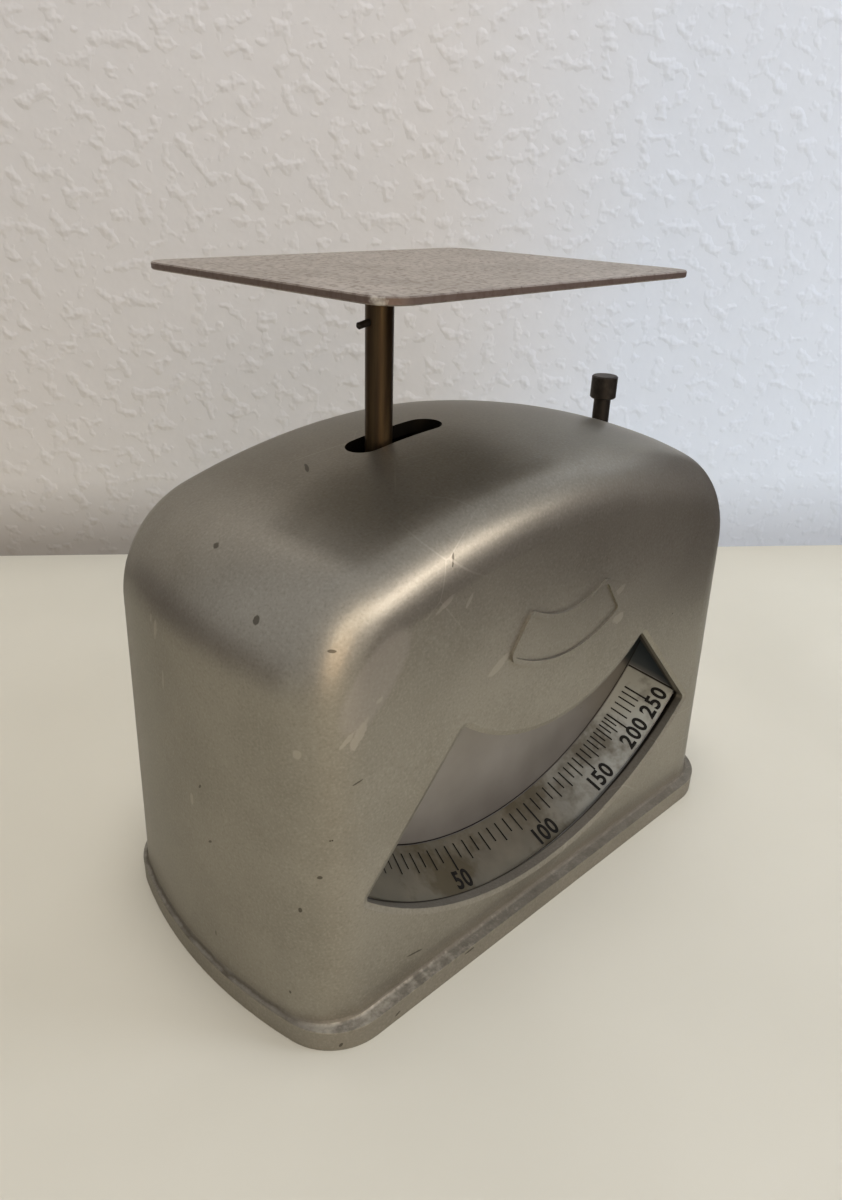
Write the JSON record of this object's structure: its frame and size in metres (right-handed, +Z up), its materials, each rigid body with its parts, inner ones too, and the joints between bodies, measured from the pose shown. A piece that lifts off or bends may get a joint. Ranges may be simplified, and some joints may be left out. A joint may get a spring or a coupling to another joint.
{
  "type": "pendulum dispensing balance",
  "caption": "Small pendulum balance in an arched cast housing: flat pan on a stem, curved gram dial behind a fan-shaped window, zero-adjusting screw.",
  "frame": {"origin": "middle of the housing's foot, on the surface that it stands on", "axes": "X runs along the front from left to right as the user faces the dial, Y from the front to the back, Z up"},
  "size_m": [0.1668, 0.0918, 0.157],
  "materials": {
    "housing_paint": "matt warm grey-silver paint on a casting",
    "steel": "plain steel",
    "screw_steel": "darkened steel",
    "frame_steel": "pressed steel",
    "brass": "turned brass",
    "stem_brass": "dark aged brass",
    "dial_paint": "silver-grey lacquer",
    "scale_strip": "printed off-white strip",
    "pointer_black": "blackened steel",
    "pan_metal": "speckled dull aluminium"
  },
  "bodies": {
    "housing_body": {"housing": "housing_paint", "base_plate": "steel", "base_plate_screws": "screw_steel", "frame_screws": "screw_steel", "frame_nuts": "screw_steel", "mechanism_frame": "frame_steel", "beam_bearings": "brass", "guide_post": "steel", "guide_collars": "brass", "dial_plate": "dial_paint", "dial_scale": "scale_strip", "dial_screws": "screw_steel", "dial_spacers": "brass"},
    "beam_body": {"beam_shaft": "steel", "beam": "brass", "counterweight_front": "brass", "counterweight_rear": "brass", "counterweight_bolt": "screw_steel", "counterweight_nut": "screw_steel", "pointer": "pointer_black", "pointer_hub": "brass", "stem_upper_pin": "steel"},
    "stem_body": {"stem": "stem_brass", "stop_pin": "steel", "pan": "pan_metal"},
    "link_body": {"guide_link": "brass", "stem_lower_pin": "steel"},
    "zero_screw_body": {"zero_screw": "screw_steel"}
  },
  "joints": [
    {"name": "beam_swing", "type": "hinge", "parent": "housing_body", "child": "beam_body", "pos_m": [-0.0015, 0.0004, 0.0927], "axis": [0, -1, 0], "range_deg": [-3, 85]},
    {"name": "stem_pivot", "type": "hinge", "parent": "beam_body", "child": "stem_body", "pos_m": [-0.0249, 0.0004, 0.10332], "axis": [0, -1, 0], "range_deg": [-85, 3]},
    {"name": "guide_link_swing", "type": "hinge", "parent": "housing_body", "child": "link_body", "pos_m": [-0.0015, 0.0004, 0.0447], "axis": [0, -1, 0], "range_deg": [-3, 85]},
    {"name": "zero_screw_turn", "type": "hinge", "parent": "housing_body", "child": "zero_screw_body", "pos_m": [0.0608, 0.0004, 0.12], "axis": [0, 0, 1], "range_deg": [-180, 180]}
  ],
  "couplings": [
    {"joint": "stem_pivot", "follows": "beam_swing", "ratio": -1},
    {"joint": "guide_link_swing", "follows": "beam_swing", "ratio": 1}
  ]
}
